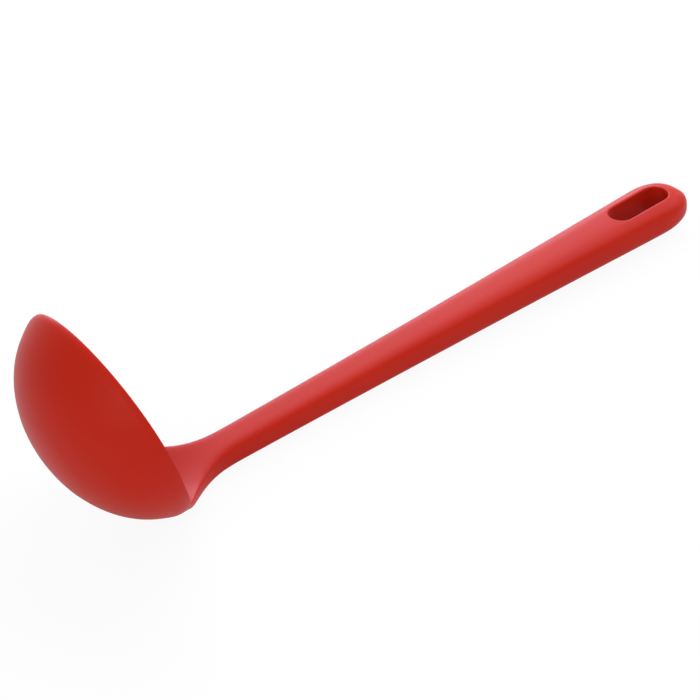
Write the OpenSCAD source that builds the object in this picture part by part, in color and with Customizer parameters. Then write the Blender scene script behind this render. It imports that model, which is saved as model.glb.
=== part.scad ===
// Soup ladle lying on its back. The handle runs along +Y, the bowl opens towards the handle's end,
// +Z is up and the handle's straight back lies on the plane z = 0.
// The origin is below the middle of the whole length.
// The modules draw the ladle along x, counted from the rim, and laid_down() turns it into place.

/* [Bowl] */
// Diameter of the bowl across the outside of its rim
bowl_d = 89; // [70:1:110]
// Depth of the bowl from the rim to the outside of its bottom
bowl_depth = 28.7; // [20:0.1:40]
// Height of the widest level of the bowl's curve, above the rim
bowl_rise = 6.4; // [2:0.1:12]
// Wall of the bowl, skin and core together
wall = 2.6; // [2:0.1:4]
// How far the rim flares out from the bowl's curve
rim_lip = 0.8; // [0.2:0.1:2]
// Height of that flare
lip_h = 8; // [4:0.5:12]

/* [Handle] */
// Length of the handle from the rim to its round end
handle_l = 279; // [200:1:360]
// Angle between the bowl's axis and the back of the handle
handle_tilt = 13; // [5:0.1:25]
// Width of the handle at its neck
neck_w = 13.5; // [10:0.1:20]
// Thickness of the handle at its neck
neck_t = 9.2; // [8:0.1:16]
// Width of the handle at its grip end
grip_w = 27.4; // [22:0.1:40]
// Thickness of the handle at its grip end
grip_t = 17.2; // [13:0.1:24]
// How late the width grows along the handle
width_ease = 1.9; // [1:0.1:2.5]
// Squareness of the section at the neck, where 2 is an ellipse
neck_square = 3.6; // [2:0.1:4]
// Squareness of the section at the grip
grip_square = 2.35; // [2:0.05:4]
// Length of the round end
cap_l = 16.2; // [10:0.5:24]

/* [Web between bowl and handle] */
// Width of the web where it leaves the rim
web_w = 61; // [40:1:70]
// Length of the web, from the rim to the plain neck
web_l = 35.5; // [20:0.5:50]
// How fast the web narrows
web_ease = 2.05; // [1.2:0.05:3]

/* [Hanging slot] */
// Width of the slot
slot_w = 11.1; // [8:0.1:14]
// Length of the slot from end to end
slot_l = 31; // [18:0.1:40]
// Distance from the slot's far end to the end of the handle
slot_edge = 9.4; // [7:0.1:14]

/* [Skin] */
// Thickness of the skin on each side of the bowl
bowl_skin = 0.7; // [0.5:0.05:1]
// Thickness of the skin round the handle
handle_skin = 2; // [1.5:0.1:3]
// Thickness of the skin inside the slot
slot_skin = 1.5; // [1:0.1:2]
// Gap between one piece and the piece moulded round it
bond_gap = 0.05; // [0.03:0.01:0.1]

/* [Core] */
// Distance from the rim to the edge of the bowl's core
core_margin = 3; // [2:0.1:6]
// Number of bonding holes round the bowl's core
bond_count = 9; // [3:1:9]
// Diameter of a bonding hole in the bowl's core
bond_d = 5; // [3:0.1:8]
// Radius of the ring of bonding holes
bond_ring_r = 24; // [14:0.5:28]
// Diameter of a bonding hole in the handle's core
grip_bond_d = 5; // [3:0.1:6]
// Distance between the bonding holes in the handle's core
grip_bond_step = 13; // [9:0.5:20]
// Number of bonding holes in the handle's core
grip_bond_count = 2; // [1:1:3]

/* [Stiffener] */
// Length of the flat bar
bar_l = 150; // [60:1:160]
// Width of the flat bar
bar_w = 5; // [3:0.1:6]
// Thickness of the flat bar
bar_t = 2.5; // [1.5:0.1:3]
// Distance from the rim to the near end of the bar
bar_start = 38; // [35:1:60]
// Diameter of the locating holes in the bar
bar_hole_d = 2.4; // [1.5:0.1:2.6]
// Distance from each end of the bar to its locating hole
bar_hole_inset = 8; // [5:0.5:20]

/* [Hidden] */
$fn = 96;

// Bowl curve: half of an ellipse whose centre is bowl_rise above the rim plane.
// The rim is widest where its round edge starts, half a wall below that plane.
bowl_r = bowl_d / 2;
rim_start = -wall / 2;
curve_b = bowl_depth + bowl_rise;
curve_a = (bowl_r - flare(rim_start)) / cos(bowl_angle(rim_start, 0));
bowl_steps = 18;
rim_steps = 6;

// Loft of the handle
ring_points = 32;
web_rings = 14;
neck_rings = 12;
cap_rings = 8;
// 1 gives a cap that is round in the side view too, and a smaller number a blunter one
cap_fullness = 0.6;
// The web starts a little below the rim, inside the bowl's wall
web_start = -2;
web_inlay = 0.2;
web_thickness_ease = 1.7;
web_skin_share = 0.5;
web_bend_fade = 0.9;
// The handle's front has squarer edges than its back, by these factors
front_square = 1.3;
back_square = 0.93;
// Overlap of the core's bowl and handle below the edge of the bowl's core
core_overlap = 1;

// The slot
slot_x = handle_l - slot_edge - slot_l / 2;
slot_reach = 2 * grip_t;

// Middle of the bowl's wall at the rim, where the handle's middle line starts
wall_r = bowl_radius(0);

// The far end of the bowl's bottom, and the middle of the whole length
bowl_end = (bowl_rise * cos(handle_tilt) - wall_r * sin(handle_tilt))
    - sqrt(pow(curve_a * sin(handle_tilt), 2) + pow(curve_b * cos(handle_tilt), 2));
middle_x = (bowl_end + handle_l) / 2;

function flare(z) = rim_lip * pow(max(0, 1 + z / lip_h), 2);
function bowl_angle(z, inset) = asin(max(-1, (z - bowl_rise) / (curve_b - inset)));
function bowl_point(angle, inset) =
    let (z = bowl_rise + (curve_b - inset) * sin(angle))
    [(curve_a - inset) * cos(angle) + flare(z), z];
function bowl_curve(inset, top) =
    let (last = bowl_angle(top, inset))
    [for (i = [0:bowl_steps]) bowl_point(-90 + (last + 90) * i / bowl_steps, inset)];
// Radius of the middle of the wall at height z
function bowl_radius(z) = bowl_point(bowl_angle(z, wall / 2), wall / 2)[0];
function reversed(list) = [for (i = [len(list) - 1:-1:0]) list[i]];

function mix(a, b, share) = a + (b - a) * share;
function web_left(x) = max(0, 1 - x / web_l);
function plain_half_t(x) = mix(neck_t, grip_t, max(0, x) / handle_l) / 2;
function half_w(x) = mix(neck_w, grip_w, pow(max(0, x) / handle_l, width_ease)) / 2
    + (web_w - neck_w) / 2 * pow(web_left(x), web_ease);
function half_t(x) = mix(plain_half_t(x), wall / 2 - web_inlay,
    pow(min(1, web_left(x)), web_thickness_ease));
function square(x) = mix(neck_square, grip_square, max(0, x) / handle_l);
// The skin grows from the bowl's to the handle's thickness along the web
function skin_at(x) = mix(handle_skin, bowl_skin, pow(min(1, web_left(x)), web_skin_share));
// Radius of the middle of the bowl's wall where the loft is at x
function middle_r(x) = bowl_radius(min(0, x));
// Middle line of the loft: inside the bowl's wall below the rim, straight above it
function spine(x) =
    let (step_in = wall_r - middle_r(x))
    x >= 0 ? [x, plain_half_t(x)]
        : [x * cos(handle_tilt) - step_in * sin(handle_tilt),
           neck_t / 2 + step_in * cos(handle_tilt) + x * sin(handle_tilt)];
// The web follows the rim's circle where it leaves the bowl, and flattens towards the neck
function web_bend(x, y) =
    let (r = middle_r(x))
    (r - sqrt(max(0, r * r - y * y))) * pow(min(1, web_left(x)), web_bend_fade);
// Share of the section that is left in the round end
function cap_share(x, length, cap) =
    sqrt(max(0, 1 - pow(max(0, x - (length - cap)) / cap, 2)));

function ring(x, inset, length, cap) =
    let (share = cap_share(x, length, cap),
         w = (half_w(x) - inset) * share,
         t = (half_t(x) - inset) * pow(share, cap_fullness))
    [for (i = [0:ring_points - 1])
        let (angle = 360 * i / ring_points,
             n = square(x) * (sin(angle) > 0 ? front_square : back_square),
             y = w * cos(angle),
             z = t * sign(sin(angle)) * pow(max(0, 1 - pow(abs(cos(angle)), n)), 1 / n),
             bend = web_bend(x, y))
        [spine(x)[0] - bend * sin(handle_tilt), y, spine(x)[1] + z + bend * cos(handle_tilt)]];

// The stations along the loft: close together in the web and in the round end
function stations(start, length, cap) = concat(
    [for (i = [0:web_rings - 1]) mix(start, web_l, i / web_rings)],
    [for (i = [0:neck_rings - 1]) mix(web_l, length - cap, i / neck_rings)],
    [for (i = [0:cap_rings - 1]) length - cap + cap * sin(90 * i / cap_rings)]);

module loft(start, length, cap, grow, is_core) {
    xs = stations(start, length, cap);
    rings = [for (x = xs) ring(x, (is_core ? skin_at(x) : 0) - grow, length, cap)];
    n = ring_points;
    last = len(xs) - 1;
    tip = len(xs) * n;
    points = concat([for (r = rings) each r], [[length, 0, plain_half_t(length)]]);
    sides = [for (k = [0:last - 1]) for (i = [0:n - 1])
        let (a = k * n + i, b = k * n + (i + 1) % n)
        each [[a, a + n, b], [b, a + n, b + n]]];
    // The flat start is a strip between the front and the back of the bent section
    start_face = [for (i = [0:n / 2 - 1]) each concat(
        i > 0 ? [[i, i + 1, n - i]] : [],
        i < n / 2 - 1 ? [[i + 1, n - i - 1, (n - i) % n]] : [])];
    round_end = [for (i = [0:n - 1]) [tip, last * n + (i + 1) % n, last * n + i]];
    polyhedron(points, concat(sides, start_face, round_end));
}

// Carries the bowl's own frame, rim plane at z = 0, into place over the start of the handle
module at_bowl() {
    translate([-wall_r * sin(handle_tilt), 0, wall_r * cos(handle_tilt) + neck_t / 2])
        rotate([0, 90 - handle_tilt, 0]) children();
}

module bowl_shell() {
    outside = bowl_curve(0, rim_start);
    inside = bowl_curve(wall, rim_start);
    outer_end = outside[bowl_steps];
    inner_end = inside[bowl_steps];
    middle = (outer_end + inner_end) / 2;
    half = (outer_end[0] - inner_end[0]) / 2;
    rim = [for (i = [1:rim_steps - 1])
        middle + [half * cos(180 * i / rim_steps), wall / 2 * sin(180 * i / rim_steps)]];
    at_bowl() rotate_extrude()
        polygon(concat(outside, rim, reversed(inside)));
}

module bowl_core(grow) {
    inset = bowl_skin - grow;
    top = -core_margin + grow;
    at_bowl() rotate_extrude()
        polygon(concat(bowl_curve(inset, top), reversed(bowl_curve(wall - inset, top))));
}

// The bonding holes let the skin inside the bowl join the skin outside
module bond_holes(grow) {
    slope = asin(min(1, bond_ring_r / curve_a));
    at_bowl() for (i = [0:bond_count - 1])
        rotate([0, 0, 180 + (i - (bond_count - 1) / 2) * 360 / (bond_count + 2)])
            translate([bond_ring_r, 0, bowl_rise - curve_b * cos(slope)])
                rotate([0, -slope, 0])
                    cylinder(h = 4 * wall, d = bond_d - 2 * grow, center = true);
    for (i = [0:grip_bond_count - 1])
        translate([slot_x - slot_l / 2 - slot_skin - grip_bond_d - i * grip_bond_step, 0, 0])
            cylinder(h = slot_reach, d = grip_bond_d - 2 * grow, center = true);
}

module slot(grow) {
    reach = slot_l / 2 - slot_w / 2;
    translate([slot_x, 0, 0]) {
        for (side = [-1, 1])
            translate([side * reach, 0, 0])
                cylinder(h = 2 * slot_reach, d = slot_w + 2 * grow, center = true);
        cube([2 * reach, slot_w + 2 * grow, 2 * slot_reach], center = true);
    }
}

module core_body(grow) {
    difference() {
        union() {
            bowl_core(grow);
            loft(-core_margin - core_overlap, handle_l - handle_skin + grow,
                cap_l - handle_skin + grow, grow, true);
        }
        bond_holes(grow);
        slot(slot_skin - grow);
    }
}

module bar(grow) {
    bar_z = plain_half_t(bar_start + bar_l / 2);
    lean = atan((grip_t - neck_t) / 2 / handle_l);
    translate([bar_start + bar_l / 2, 0, bar_z]) rotate([0, -lean, 0]) difference() {
        cube([bar_l + 2 * grow, bar_w + 2 * grow, bar_t + 2 * grow], center = true);
        for (side = [-1, 1])
            translate([side * (bar_l / 2 - bar_hole_inset), 0, 0])
                cylinder(h = 2 * bar_t, d = bar_hole_d - 2 * grow, center = true);
    }
}

module laid_down() {
    rotate([0, 0, 90]) translate([-middle_x, 0, 0]) children();
}

module silicone_skin() {
    color([0.78, 0.13, 0.11]) laid_down() difference() {
        union() {
            bowl_shell();
            loft(web_start, handle_l, cap_l, 0, false);
        }
        core_body(bond_gap);
        slot(0);
    }
}

module nylon_core() {
    color([0.16, 0.16, 0.17]) laid_down() difference() {
        core_body(0);
        bar(bond_gap);
    }
}

module steel_stiffener() {
    color([0.66, 0.67, 0.69]) laid_down() bar(0);
}

silicone_skin();
nylon_core();
steel_stiffener();
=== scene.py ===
import math

import bmesh
import bpy
from mathutils import Matrix, Vector


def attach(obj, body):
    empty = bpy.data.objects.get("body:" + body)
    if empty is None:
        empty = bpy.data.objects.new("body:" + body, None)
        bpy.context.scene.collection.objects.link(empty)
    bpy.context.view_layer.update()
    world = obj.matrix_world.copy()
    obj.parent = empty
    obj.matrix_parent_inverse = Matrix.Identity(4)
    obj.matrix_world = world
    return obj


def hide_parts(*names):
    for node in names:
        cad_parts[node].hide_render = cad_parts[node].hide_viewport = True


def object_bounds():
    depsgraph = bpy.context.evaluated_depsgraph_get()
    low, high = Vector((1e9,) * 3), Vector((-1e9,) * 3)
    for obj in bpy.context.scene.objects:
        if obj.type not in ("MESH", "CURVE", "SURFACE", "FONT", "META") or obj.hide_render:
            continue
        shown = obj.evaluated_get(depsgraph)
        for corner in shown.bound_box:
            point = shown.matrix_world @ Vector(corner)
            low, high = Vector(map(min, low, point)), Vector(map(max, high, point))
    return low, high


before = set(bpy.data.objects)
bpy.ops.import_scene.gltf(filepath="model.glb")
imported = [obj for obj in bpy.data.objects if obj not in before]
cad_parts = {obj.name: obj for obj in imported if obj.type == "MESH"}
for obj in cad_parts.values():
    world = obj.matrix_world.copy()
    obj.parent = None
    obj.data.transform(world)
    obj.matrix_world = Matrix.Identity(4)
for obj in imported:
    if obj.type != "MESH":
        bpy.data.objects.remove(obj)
cadLow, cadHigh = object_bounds()
print("frame: " + ", ".join(sorted(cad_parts)))

mm = 0.001

# All sizes are in millimetres. The handle is drawn along x, counted from the rim, and laid down at the end.
bowl = {
    "rimDiameter": 89.0,
    "depth": 28.7,
    "rise": 6.4,            # height of the curve's widest level above the rim
    "wall": 2.6,
    "lip": 0.8,             # how far the rim flares out
    "lipHeight": 8.0,       # over this height
    "steps": 48,            # columns round the bowl
    "rings": 8,             # rings between the bottom patch and the rim
    "patchAngle": 24,       # edge of the patch that closes the bottom, in degrees from the pole
    "lastAngle": 71.5,      # the highest of the rings, in the same degrees
    "rimSquare": 6.0,       # how square the rim's edge is, 2 is round
    "rimCrease": 0.5,       # keeps its two corners crisp when the mesh is smoothed
    "rimInset": 0.22,       # the rim's edge is moved in by this much
    "rimRaise": 0.45,       # the rim stands this much higher than the middle of the web's edge
    "webDip": 4,            # larger keeps more of the web's edge as low as its middle
    "sweepHeight": 2.0,     # the rim rises by this much more up to the web's corners
    "sweepReach": 12,       # from this column on
    "sweepEase": 1.6,       # larger keeps that rise close to the web
}

handle = {
    "length": 279.0,
    "tilt": 13.0,           # degrees between the bowl's axis and the handle's back
    "neckWidth": 13.5,
    "neckThickness": 9.2,
    "gripWidth": 27.4,
    "gripThickness": 17.2,
    "widthEase": 1.9,       # larger keeps the handle narrow for longer
    "neckSquare": 3.6,      # squareness of the section, 2 is an ellipse
    "gripSquare": 2.35,
    "frontSquare": 1.3,     # factors on the squareness of the front's edges and of the back's
    "backSquare": 0.93,
    "capLength": 16.2,      # length of the round end
    "capFront": 0.72,       # smaller keeps its front full for longer
    "capBack": 1.1,         # the same for its back
    "heelLength": 34.0,     # the back starts to rise this far from the end
    "heelRise": 0.15,       # by this share of its depth
    "webWidth": 61.0,
    "webLength": 35.5,
    "webEase": 2.05,        # larger narrows the web sooner
    "webThickening": 1.7,   # larger thickens it sooner
    "webSquare": 6.0,       # squareness of the web's edge at the rim
    "webInlay": 0.05,       # the web starts thinner than the bowl's wall by this much on each side
    "webBendFade": 0.9,     # smaller keeps the web curved further up the handle
    "liftFade": 3.0,        # larger brings the web's edge back to its plain line sooner
    # where the cage's sections stand, counted from the rim
    "webStations": [1.5, 3.4, 5.8, 8.8, 12.4, 16.4, 20.8, 25.4, 30.2, 35.5],
    "plainStations": [43, 53, 66, 82, 100, 120, 140, 160, 180, 198, 213, 225, 232],
    "capTurns": [47, 62, 75],   # degrees round the end, counted from where it starts
}

slot = {
    "width": 11.1,
    "length": 31.0,
    "edge": 9.4,            # from the slot's far end to the handle's end
    "lip": 1.15,            # roundness of its edge
    "lipDepth": 1.5,        # depth of the rounded edge, in lips
    "columns": 2,           # columns of the handle on each side of the slot's middle
    "shoulder": 1.02,       # widens the cage where the straight sides meet the round ends
    "wallCuts": 3,          # rings of points down the slot's wall
}

rimRows = 5                 # points over the rim's edge, from outside to inside
middleRow = rimRows // 2
webColumns = 6              # columns on each side of the web's middle
rowStep = 180 / (rimRows - 1)                       # degrees between the points over the rim's edge
roundStep = 180 / (2 * webColumns + rimRows - 1)    # the same round the handle's section
slotStep = 90 / (slot["columns"] + 1)               # and round the slot's ends
smoothLevels = 2
weldDistance = 0.001        # points closer than this are one point
levelSlack = 0.1            # points of one level differ by less than this

rimStart = -bowl["wall"] / 2            # level where the rim's round edge starts
curveB = bowl["depth"] + bowl["rise"]   # half height of the bowl's curve

slotMiddle = handle["length"] - slot["edge"] - slot["length"] / 2
slotStraight = (slot["length"] - slot["width"]) / 2
slotOuter = slot["width"] / 2 + slot["lip"]

# stations along the handle: close together in the web, at the slot and in the round end
beforeSlot = handle["webStations"] + handle["plainStations"]
atSlot = [slotMiddle + d for d in (-slotStraight - slotOuter, -slotStraight, -slotStraight / 2, 0,
                                   slotStraight / 2, slotStraight, slotStraight + slotOuter)]
inCap = [handle["length"] - handle["capLength"] * (1 - math.sin(math.radians(turn)))
         for turn in handle["capTurns"]]
stations = beforeSlot + atSlot + inCap
slotFirst = len(beforeSlot)
slotLast = slotFirst + len(atSlot) - 1


# a ring's cage is larger by this factor, so that the smoothed ring has its true size; the step is in degrees
def cageFactor(step):
    return 3 / (2 + math.cos(math.radians(step)))


def mix(a, b, share):
    return a + (b - a) * share


def flare(level):
    return bowl["lip"] * max(0.0, 1 + level / bowl["lipHeight"]) ** 2


rimReach = (rimStart - bowl["rise"]) / curveB
curveA = (bowl["rimDiameter"] / 2 - flare(rimStart)) / math.sqrt(1 - rimReach ** 2)     # its half width


# the bowl's curve, where the inset is 0 for the outside and the wall for the inside
def bowlRadius(level, inset):
    reach = (level - bowl["rise"]) / (curveB - inset)
    return (curveA - inset) * math.sqrt(max(0.0, 1 - reach * reach)) + flare(level)


def bowlLevel(radius, inset):
    share = radius / (curveA - inset)
    return bowl["rise"] - (curveB - inset) * math.sqrt(max(0.0, 1 - share * share))


# levels of the rings from the bottom patch up, and one a wall's thickness below the rim
def ringLevels(inset):
    last = bowl["rings"] - 1
    angles = [mix(bowl["patchAngle"], bowl["lastAngle"], i / last) for i in range(bowl["rings"])]
    levels = [bowl["rise"] - (curveB - inset) * math.cos(math.radians(angle)) for angle in angles]
    return levels + [2 * rimStart]


wallRadius = bowlRadius(0, bowl["wall"] / 2)    # the middle of the wall at the rim
tilt = math.radians(handle["tilt"])
rimCentre = (-wallRadius * math.sin(tilt), 0, wallRadius * math.cos(tilt) + handle["neckThickness"] / 2)
ontoHandle = Matrix.Translation(rimCentre) @ Matrix.Rotation(math.pi / 2 - tilt, 4, "Y")


# half width, half thickness, squareness and height of the middle of the handle's section at x
def section(x, isBack=False):
    far = min(1.0, x / handle["length"])
    left = max(0.0, 1 - x / handle["webLength"])
    halfWidth = mix(handle["neckWidth"], handle["gripWidth"], far ** handle["widthEase"]) / 2
    halfWidth += (handle["webWidth"] - handle["neckWidth"]) / 2 * left ** handle["webEase"]
    plain = mix(handle["neckThickness"], handle["gripThickness"], far) / 2
    halfThickness = mix(plain, bowl["wall"] / 2 - handle["webInlay"], left ** handle["webThickening"])
    square = mix(mix(handle["neckSquare"], handle["gripSquare"], far), handle["webSquare"], left)
    into = max(0.0, x - handle["length"] + handle["capLength"]) / handle["capLength"]
    share = math.sqrt(max(0.0, 1 - into * into))
    halfThickness *= share ** handle["capBack" if isBack else "capFront"]
    if isBack:
        heel = max(0.0, 1 - (handle["length"] - x) / handle["heelLength"])
        halfThickness *= 1 - handle["heelRise"] * heel * heel
    return halfWidth * share * cageFactor(roundStep), halfThickness, square, plain


# a point of the section: across is -1 to 1 of the half width, up is -1 at the back and 1 at the front
def sectionPoint(x, across, up):
    halfWidth, halfThickness, square, middle = section(x, up < 0)
    square *= handle["frontSquare"] if up > 0 else handle["backSquare"]
    y = halfWidth * across
    z = halfThickness * up * max(0.0, 1 - abs(across) ** square) ** (1 / square)
    left = max(0.0, 1 - x / handle["webLength"])
    bend = (wallRadius - math.sqrt(max(0.0, wallRadius ** 2 - y * y))) * left ** handle["webBendFade"]
    return Vector((x - bend * math.sin(tilt), y, middle + z + bend * math.cos(tilt)))


# the wall's profile: up the outside, over the rim and down the inside
def addProfile(bm, row):
    points = [(bowlRadius(level, 0), level, -1) for level in ringLevels(0)]
    middle = (bowlRadius(rimStart, 0) + bowlRadius(rimStart, bowl["wall"])) / 2 - bowl["rimInset"]
    half = bowl["wall"] / 2
    for i in range(rimRows):
        turn = math.pi * i / (rimRows - 1)
        across = math.copysign(abs(math.cos(turn)) ** (2 / bowl["rimSquare"]), math.cos(turn))
        up = math.sin(turn) ** (2 / bowl["rimSquare"])
        points.append((middle + half * across, rimStart + half * up, i))
    for level in reversed(ringLevels(bowl["wall"])):
        points.append((bowlRadius(level, bowl["wall"]), level, -1))
    chain = []
    for radius, level, index in points:
        vert = bm.verts.new((radius, 0, level))
        vert[row] = index
        chain.append(vert)
    return chain, [bm.edges.new(pair) for pair in zip(chain, chain[1:])]


# closes the open loop on this side of the wall with a grid, which has no pole
def closeBottom(bm, inset):
    level = ringLevels(inset)[0]
    oppositeQuarters = []
    for e in bm.edges:
        if e.is_boundary and all(abs(v.co.z - level) < levelSlack for v in e.verts):
            middle = (e.verts[0].co + e.verts[1].co) / 2
            turn = math.degrees(math.atan2(middle.y, middle.x)) % 360
            if (turn + 45) % 180 < 90:
                oppositeQuarters.append(e)
    old = set(bm.verts)
    bmesh.ops.grid_fill(bm, edges=oppositeQuarters, use_smooth=True)
    for v in [v for v in bm.verts if v not in old]:
        v.co.z = bowlLevel(math.hypot(v.co.x, v.co.y), inset)


# the rim and the web's edge stand highest where they meet, and the web's edge dips to its middle
def rimLift(column):
    away = abs(column)
    inWeb = min(1.0, away / webColumns) ** bowl["webDip"]
    near = min(1.0, max(0.0, (bowl["sweepReach"] - away) / (bowl["sweepReach"] - webColumns)))
    return inWeb * (bowl["rimRaise"] + bowl["sweepHeight"] * near ** bowl["sweepEase"])


def makeBowl(bm, row, column):
    chain, edges = addProfile(bm, row)
    bmesh.ops.spin(bm, geom=chain + edges, cent=(0, 0, 0), axis=(0, 0, 1), angle=2 * math.pi,
                   steps=bowl["steps"], use_merge=True)
    bmesh.ops.remove_doubles(bm, verts=bm.verts[:], dist=weldDistance)
    closeBottom(bm, 0)
    closeBottom(bm, bowl["wall"])
    step = 360 / bowl["steps"]
    for v in bm.verts:
        v[column] = round(math.degrees(math.atan2(v.co.y, v.co.x)) / step)
        if v[row] >= 0:
            v.co.z += rimLift(v[column])
    bmesh.ops.transform(bm, matrix=ontoHandle, verts=bm.verts[:])
    print("bowl:", len(bm.verts), "cage points")


# extrudes a patch of faces and leaves nothing behind inside
def pull(bm, faces):
    made = bmesh.ops.extrude_face_region(bm, geom=faces)["geom"]
    bmesh.ops.delete(bm, geom=faces, context="FACES")
    newFaces = [g for g in made if isinstance(g, bmesh.types.BMFace)]
    newVerts = [g for g in made if isinstance(g, bmesh.types.BMVert)]
    return newFaces, newVerts


# height of a row between the front and the back, as a share of the half thickness
def rowHeight(row):
    return (row - middleRow) * math.sin(math.radians(rowStep))


# the rim's patch becomes a section: its outer row is the back, its inner row the front, its ends the sides
def ringPlace(row, column, x):
    across = math.cos(math.radians(90 - roundStep * column))
    if row == rimRows - 1:
        return sectionPoint(x, across, 1)
    if row == 0:
        return sectionPoint(x, across, -1)
    if abs(column) == webColumns:
        turn = roundStep * (row - middleRow)
        return sectionPoint(x, math.copysign(math.cos(math.radians(turn)), column), math.copysign(1, turn))
    return sectionPoint(x, across, rowHeight(row))


# where a point of the handle's cage goes, with the rim's lift fading out along the web
def cagePlace(row, column, x):
    left = max(0.0, 1 - x / handle["webLength"])
    lift = rimLift(column) * left ** handle["liftFade"]
    return ringPlace(row, column, x) + Vector((math.cos(tilt), 0, math.sin(tilt))) * lift


def makeHandle(bm, row, column, station):
    for v in bm.verts:
        v[station] = -1
    faces = [f for f in bm.faces if all(v[row] >= 0 and abs(v[column]) <= webColumns for v in f.verts)]
    for index, x in enumerate(stations):
        faces, verts = pull(bm, faces)
        for v in verts:
            v[station] = index
            v.co = cagePlace(v[row], v[column], x)
    # the middle of the end cap is a low dome, so that the end comes out round
    rise = handle["length"] - stations[-1]
    for v in {v for f in faces for v in f.verts}:
        if 0 < v[row] < rimRows - 1 and abs(v[column]) < webColumns:
            across = math.sin(math.radians(roundStep * v[column]))
            up = rowHeight(v[row])
            v.co.x += rise * max(0.0, 1 - across * across - up * up)
    print("handle:", len(stations), "stations")


# where a point of the block round the slot goes: half circles at the ends and straight sides
def slotPlace(v, column, station, up):
    x = v.co.x
    y = v.co.y
    if v[station] in (slotFirst, slotLast):
        turn = math.radians(90 - slotStep * abs(v[column]))
        radius = slotOuter * cageFactor(slotStep)
        x = slotMiddle + math.copysign(slotStraight + radius * math.sin(turn), x - slotMiddle)
        y = math.copysign(radius * math.cos(turn), v[column]) if v[column] else 0.0
    elif abs(v[column]) == slot["columns"]:
        ease = slot["shoulder"] if v[station] in (slotFirst + 1, slotLast - 1) else 1.0
        y = math.copysign(slotOuter * ease, v[column])
    return sectionPoint(x, y / section(x)[0], up)


# a rounded opening is sunk into the back and into the front, and a wall joins the two
def cutSlot(bm, row, column, station):
    loops = []
    for side, up in ((0, -1), (rimRows - 1, 1)):
        block = [f for f in bm.faces if all(v[row] == side and abs(v[column]) <= slot["columns"]
                                            and slotFirst <= v[station] <= slotLast for v in f.verts)]
        for v in {v for f in block for v in f.verts}:
            v.co = slotPlace(v, column, station, up)
        bmesh.ops.inset_region(bm, faces=block, thickness=slot["lip"], depth=0, use_even_offset=True,
                               use_boundary=True)
        inner, verts = pull(bm, block)
        bmesh.ops.translate(bm, verts=verts, vec=(0, 0, -up * slot["lipDepth"] * slot["lip"]))
        rim = [e for f in inner for e in f.edges if sum(g in inner for g in e.link_faces) == 1]
        bmesh.ops.delete(bm, geom=inner, context="FACES_KEEP_BOUNDARY")
        loops += rim
    through = bmesh.ops.bridge_loops(bm, edges=loops)["edges"]
    bmesh.ops.subdivide_edges(bm, edges=through, cuts=slot["wallCuts"], use_grid_fill=True)
    print("slot:", len(through), "edges down its wall")


# the two corners of the rim's edge, all round the bowl but not in the web
def creaseRim(bm, row, column, station):
    crease = bm.edges.layers.float.new("crease_edge")
    for e in bm.edges:
        a, b = e.verts
        onCorner = a[row] == b[row] and a[row] in (1, rimRows - 2)
        onBowl = a[station] < 0 and b[station] < 0
        if onCorner and onBowl and min(abs(a[column]), abs(b[column])) >= webColumns:
            e[crease] = bowl["rimCrease"]


def makeJacket():
    bm = bmesh.new()
    row = bm.verts.layers.int.new("row")
    column = bm.verts.layers.int.new("column")
    station = bm.verts.layers.int.new("station")
    makeBowl(bm, row, column)
    makeHandle(bm, row, column, station)
    cutSlot(bm, row, column, station)
    bmesh.ops.remove_doubles(bm, verts=bm.verts[:], dist=weldDistance)
    creaseRim(bm, row, column, station)
    bmesh.ops.recalc_face_normals(bm, faces=bm.faces[:])
    # laid down: the handle along +Y with its end where the CAD's is, in metres
    middle = handle["length"] - cadHigh.y / mm
    bmesh.ops.translate(bm, verts=bm.verts[:], vec=(-middle, 0, 0))
    bmesh.ops.rotate(bm, verts=bm.verts[:], cent=(0, 0, 0), matrix=Matrix.Rotation(math.pi / 2, 3, "Z"))
    for v in bm.verts:
        v.co.z = max(v.co.z, 0.0)   # the slot's inset must not dip below the straight back
    bmesh.ops.scale(bm, verts=bm.verts[:], vec=(mm, mm, mm))
    mesh = bpy.data.meshes.new("silicone_jacket")
    bm.to_mesh(mesh)
    bm.free()
    for polygon in mesh.polygons:
        polygon.use_smooth = True
    jacket = bpy.data.objects.new("silicone_jacket", mesh)
    bpy.context.scene.collection.objects.link(jacket)
    smooth = jacket.modifiers.new("smooth", "SUBSURF")
    smooth.levels = smoothLevels
    smooth.render_levels = smoothLevels
    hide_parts("silicone_skin")
    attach(jacket, "root")
    print("jacket:", len(mesh.vertices), "cage points")
    return jacket


# sRGB hex to linear colour
def linear(hexCode):
    values = [int(hexCode[i:i + 2], 16) / 255 for i in (0, 2, 4)]
    return [v / 12.92 if v <= 0.04045 else ((v + 0.055) / 1.055) ** 2.4 for v in values] + [1.0]


# a pattern's scale from its size in millimetres
def perMetre(size):
    return 1000 / size


# adds a node, sets its inputs and properties, and links what is given as a socket
def addNode(tree, kind, inputs=None, **settings):
    node = tree.nodes.new(kind)
    for name, value in settings.items():
        setattr(node, name, value)
    for name, value in (inputs or {}).items():
        if isinstance(value, bpy.types.NodeSocket):
            tree.links.new(value, node.inputs[name])
        else:
            node.inputs[name].default_value = value
    return node


mixFirst = 6                # sockets of a Mix node that is set to colour
mixSecond = 7
mixResult = 2


def newMaterial(name):
    material = bpy.data.materials.new(name)
    material.use_nodes = True
    material.node_tree.nodes.clear()
    return material, material.node_tree


silicone = {
    "colour": "B01B0C",
    "bloom": "B62410",      # where handling has left the surface a little paler
    "bloomSize": 45.0,      # millimetres
    "bloomDetail": 3.0,
    "grain": 0.7,           # millimetres: moulded grain, drawn coarser than the real 0.1 so that it shows
    "grainDetail": 2.0,
    "grainDepth": 0.2,      # millimetres, of which the strength leaves only a little
    "grainStrength": 0.08,
    "roughness": 0.41,
    "polish": 0.04,         # how much the roughness changes over the bloom
    "ior": 1.42,
    "specular": 0.12,
}


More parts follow.
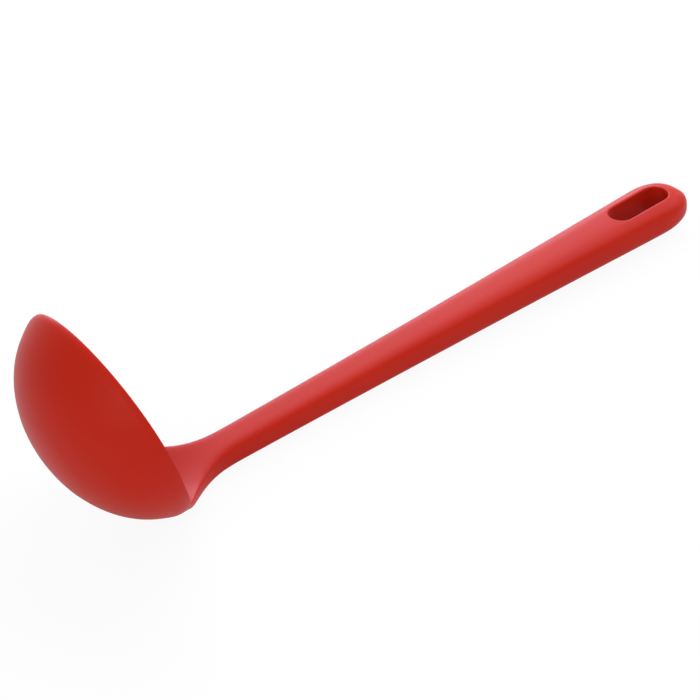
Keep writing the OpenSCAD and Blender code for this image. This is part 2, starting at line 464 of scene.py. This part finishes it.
# platinum-cured silicone, compression moulded in a blasted tool: even deep red, soft grazing sheen, no gloss
def mouldedSilicone():
    material, tree = newMaterial("moulded_silicone")
    place = addNode(tree, "ShaderNodeTexCoord").outputs["Object"]
    bloom = addNode(tree, "ShaderNodeTexNoise", {
        "Vector": place, "Scale": perMetre(silicone["bloomSize"]), "Detail": silicone["bloomDetail"]})
    colour = addNode(tree, "ShaderNodeMix", {
        "Factor": bloom.outputs["Fac"], mixFirst: linear(silicone["colour"]),
        mixSecond: linear(silicone["bloom"])}, data_type="RGBA")
    rough = addNode(tree, "ShaderNodeMapRange", {
        "Value": bloom.outputs["Fac"], "To Min": silicone["roughness"] - silicone["polish"],
        "To Max": silicone["roughness"] + silicone["polish"]})
    grain = addNode(tree, "ShaderNodeTexNoise", {
        "Vector": place, "Scale": perMetre(silicone["grain"]), "Detail": silicone["grainDetail"]})
    bump = addNode(tree, "ShaderNodeBump", {
        "Height": grain.outputs["Fac"], "Strength": silicone["grainStrength"],
        "Distance": silicone["grainDepth"] * mm})
    shader = addNode(tree, "ShaderNodeBsdfPrincipled", {
        "Base Color": colour.outputs[mixResult], "Roughness": rough.outputs["Result"], "IOR": silicone["ior"],
        "Specular IOR Level": silicone["specular"], "Normal": bump.outputs["Normal"]})
    addNode(tree, "ShaderNodeOutputMaterial", {"Surface": shader.outputs["BSDF"]})
    return material


nylon = {
    "colour": "2B2A2D",
    "mottle": "343336",
    "fibre": 1.2,           # millimetres: length of the glass fibres that show at the skin of the moulding
    "fibreWidth": 0.25,     # drawn wider than the real 0.01 so that they show
    "fibreDetail": 1.0,
    "fibreDepth": 0.1,      # millimetres
    "fibreStrength": 0.15,
    "roughness": 0.52,
    "ior": 1.53,
}


# glass-filled nylon, injection moulded: dark and matte, with short fibres lying along the flow
def mouldedNylon():
    material, tree = newMaterial("glass_filled_nylon")
    place = addNode(tree, "ShaderNodeTexCoord").outputs["Object"]
    across = perMetre(nylon["fibreWidth"])
    along = addNode(tree, "ShaderNodeMapping", {
        "Vector": place, "Scale": (across, perMetre(nylon["fibre"]), across)})
    fibre = addNode(tree, "ShaderNodeTexNoise", {
        "Vector": along.outputs["Vector"], "Scale": 1.0, "Detail": nylon["fibreDetail"]})
    colour = addNode(tree, "ShaderNodeMix", {
        "Factor": fibre.outputs["Fac"], mixFirst: linear(nylon["colour"]),
        mixSecond: linear(nylon["mottle"])}, data_type="RGBA")
    bump = addNode(tree, "ShaderNodeBump", {
        "Height": fibre.outputs["Fac"], "Strength": nylon["fibreStrength"],
        "Distance": nylon["fibreDepth"] * mm})
    shader = addNode(tree, "ShaderNodeBsdfPrincipled", {
        "Base Color": colour.outputs[mixResult], "Roughness": nylon["roughness"], "IOR": nylon["ior"],
        "Normal": bump.outputs["Normal"]})
    addNode(tree, "ShaderNodeOutputMaterial", {"Surface": shader.outputs["BSDF"]})
    return material


steel = {
    "colour": "C4C3C0",
    "streak": 0.3,          # millimetres across, drawn wider than the real 0.02 of rolling marks
    "streakLength": 40.0,
    "streakDetail": 2.0,
    "streakDepth": 0.05,    # millimetres
    "streakStrength": 0.1,
    "roughness": (0.28, 0.42),
}


# stainless strip, cold rolled and sheared: grey, with fine marks along the rolling direction
def rolledSteel():
    material, tree = newMaterial("rolled_stainless_strip")
    place = addNode(tree, "ShaderNodeTexCoord").outputs["Object"]
    across = perMetre(steel["streak"])
    along = addNode(tree, "ShaderNodeMapping", {
        "Vector": place, "Scale": (across, perMetre(steel["streakLength"]), across)})
    streak = addNode(tree, "ShaderNodeTexNoise", {
        "Vector": along.outputs["Vector"], "Scale": 1.0, "Detail": steel["streakDetail"]})
    rough = addNode(tree, "ShaderNodeMapRange", {
        "Value": streak.outputs["Fac"], "To Min": steel["roughness"][0], "To Max": steel["roughness"][1]})
    bump = addNode(tree, "ShaderNodeBump", {
        "Height": streak.outputs["Fac"], "Strength": steel["streakStrength"],
        "Distance": steel["streakDepth"] * mm})
    shader = addNode(tree, "ShaderNodeBsdfPrincipled", {
        "Base Color": linear(steel["colour"]), "Metallic": 1.0, "Roughness": rough.outputs["Result"],
        "Normal": bump.outputs["Normal"]})
    addNode(tree, "ShaderNodeOutputMaterial", {"Surface": shader.outputs["BSDF"]})
    return material


def setMaterial(thing, material):
    thing.data.materials.clear()
    thing.data.materials.append(material)


jacket = makeJacket()
setMaterial(jacket, mouldedSilicone())
setMaterial(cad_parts["nylon_core"], mouldedNylon())
setMaterial(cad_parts["steel_stiffener"], rolledSteel())
print("materials: silicone, nylon, steel")


# direction from the ladle, with azimuth and elevation in degrees
def towards(azimuth, elevation):
    a = math.radians(azimuth)
    e = math.radians(elevation)
    return Vector((math.sin(a) * math.cos(e), -math.cos(a) * math.cos(e), math.sin(e)))


# the photo's viewing angle
camera = {
    "aim": (-10.56, -15.13, 9.90),      # millimetres
    "azimuth": 54.85,
    "elevation": 37.33,
    "roll": -4.94,
    "distance": 797.3,      # millimetres
    "lens": 102.86,
    "sensor": 36,
    "near": 0.05,           # metres
    "far": 20,
}


def makeCamera():
    data = bpy.data.cameras.new("camera")
    data.lens = camera["lens"]
    data.sensor_width = camera["sensor"]
    data.clip_start = camera["near"]
    data.clip_end = camera["far"]
    back = towards(camera["azimuth"], camera["elevation"])
    roll = Matrix.Rotation(math.radians(camera["roll"]), 4, "Z").to_quaternion()
    thing = bpy.data.objects.new("camera", data)
    bpy.context.scene.collection.objects.link(thing)
    thing.rotation_mode = "QUATERNION"
    thing.rotation_quaternion = back.to_track_quat("Z", "Y") @ roll
    thing.location = (Vector(camera["aim"]) + back * camera["distance"]) * mm
    bpy.context.scene.camera = thing


studio = {
    "floorColour": "E6E5E5",
    "floorSize": 6.0,       # metres
    "paper": 0.92,          # how much of the floor is plain white to the camera; the rest takes the shadow
    "floorGloss": 0.4,      # share of that in reflections, because the floor beside the ladle is in its shade
    "sky": 0.55,
    "coolWhite": (0.88, 0.98, 1.22),
    "plainWhite": (1, 1, 1),
    # soft boxes: azimuth and elevation in degrees, then distance, width and height in metres, and watts
    "backBox": (205.0, 50.0, 1.2, 2.2, 0.9, 19.0),
    "sideBox": (243.0, 16.0, 1.3, 1.0, 0.5, 8.0),
    "fillBox": (40.0, 30.0, 1.5, 1.0, 1.0, 7.0),
}


# 1 for the rays that should meet plain white: the camera's, and what metal and glass reflect or let through
def plainRays(tree, gloss=1.0):
    rays = addNode(tree, "ShaderNodeLightPath")
    glossy = addNode(tree, "ShaderNodeMath", {0: rays.outputs["Is Glossy Ray"], 1: gloss},
                     operation="MULTIPLY")
    seen = addNode(tree, "ShaderNodeMath", {0: rays.outputs["Is Camera Ray"], 1: glossy.outputs[0]},
                   operation="MAXIMUM")
    return addNode(tree, "ShaderNodeMath", {0: seen.outputs[0], 1: rays.outputs["Is Transmission Ray"]},
                   operation="MAXIMUM").outputs[0]


def makeFloor():
    bm = bmesh.new()
    bmesh.ops.create_grid(bm, x_segments=1, y_segments=1, size=studio["floorSize"] / 2)
    mesh = bpy.data.meshes.new("floor")
    bm.to_mesh(mesh)
    bm.free()
    floor = bpy.data.objects.new("floor", mesh)
    bpy.context.scene.collection.objects.link(floor)
    material, tree = newMaterial("paper_sweep")
    paper = addNode(tree, "ShaderNodeBsdfDiffuse", {"Color": linear(studio["floorColour"])})
    white = addNode(tree, "ShaderNodeEmission", {"Color": (1, 1, 1, 1), "Strength": 1.0})
    share = addNode(tree, "ShaderNodeMath", {0: plainRays(tree, studio["floorGloss"]), 1: studio["paper"]},
                    operation="MULTIPLY")
    both = addNode(tree, "ShaderNodeMixShader", {
        0: share.outputs[0], 1: paper.outputs[0], 2: white.outputs[0]})
    addNode(tree, "ShaderNodeOutputMaterial", {"Surface": both.outputs[0]})
    setMaterial(floor, material)


def makeWorld():
    world = bpy.data.worlds.new("studio")
    world.use_nodes = True
    tree = world.node_tree
    tree.nodes.clear()
    strength = addNode(tree, "ShaderNodeMapRange", {
        "Value": plainRays(tree), "To Min": studio["sky"], "To Max": 1.0})
    sky = addNode(tree, "ShaderNodeBackground", {
        "Color": (1, 1, 1, 1), "Strength": strength.outputs["Result"]})
    addNode(tree, "ShaderNodeOutputWorld", {"Surface": sky.outputs[0]})
    bpy.context.scene.world = world


def makeSoftBox(name, values, colour):
    azimuth, elevation, distance, width, height, watts = values
    back = towards(azimuth, elevation)
    lamp = bpy.data.lights.new(name, "AREA")
    lamp.shape = "RECTANGLE"
    lamp.size = width
    lamp.size_y = height
    lamp.energy = watts
    lamp.color = colour
    thing = bpy.data.objects.new(name, lamp)
    thing.location = back * distance
    thing.rotation_mode = "QUATERNION"
    thing.rotation_quaternion = back.to_track_quat("Z", "Y")
    thing.visible_camera = False
    bpy.context.scene.collection.objects.link(thing)


makeCamera()
makeFloor()
makeWorld()
makeSoftBox("back_box", studio["backBox"], studio["coolWhite"])
makeSoftBox("side_box", studio["sideBox"], studio["coolWhite"])
makeSoftBox("fill_box", studio["fillBox"], studio["plainWhite"])
bpy.context.scene.view_settings.view_transform = "Standard"
print("camera and studio ready")
